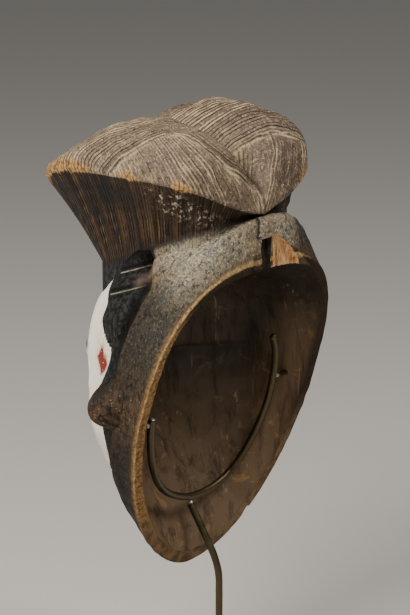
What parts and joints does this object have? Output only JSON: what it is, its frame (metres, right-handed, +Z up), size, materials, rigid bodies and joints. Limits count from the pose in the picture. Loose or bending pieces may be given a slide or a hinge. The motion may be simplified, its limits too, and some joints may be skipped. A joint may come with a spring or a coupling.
{
  "type": "punu mask on a display cradle",
  "caption": "Carved whitened wooden face mask with a two-lobed coiffure, hollow behind, held up by a bent metal cradle on a post and plate foot.",
  "frame": {"origin": "middle of the foot's underside, straight below the post", "axes": "+Z up, the face looks along -Y and the hollow opens along +Y, +X is the mask's own left"},
  "size_m": [0.1922, 0.182, 0.4201],
  "materials": {
    "carved_wood": "weathered",
    "bronzed_metal": "satin patina",
    "dark_steel": "matt"
  },
  "bodies": {
    "root": {"mask": "carved_wood", "cradle_rod": "bronzed_metal", "peg_left": "bronzed_metal", "peg_right": "bronzed_metal", "post": "bronzed_metal", "foot": "dark_steel"}
  },
  "joints": []
}
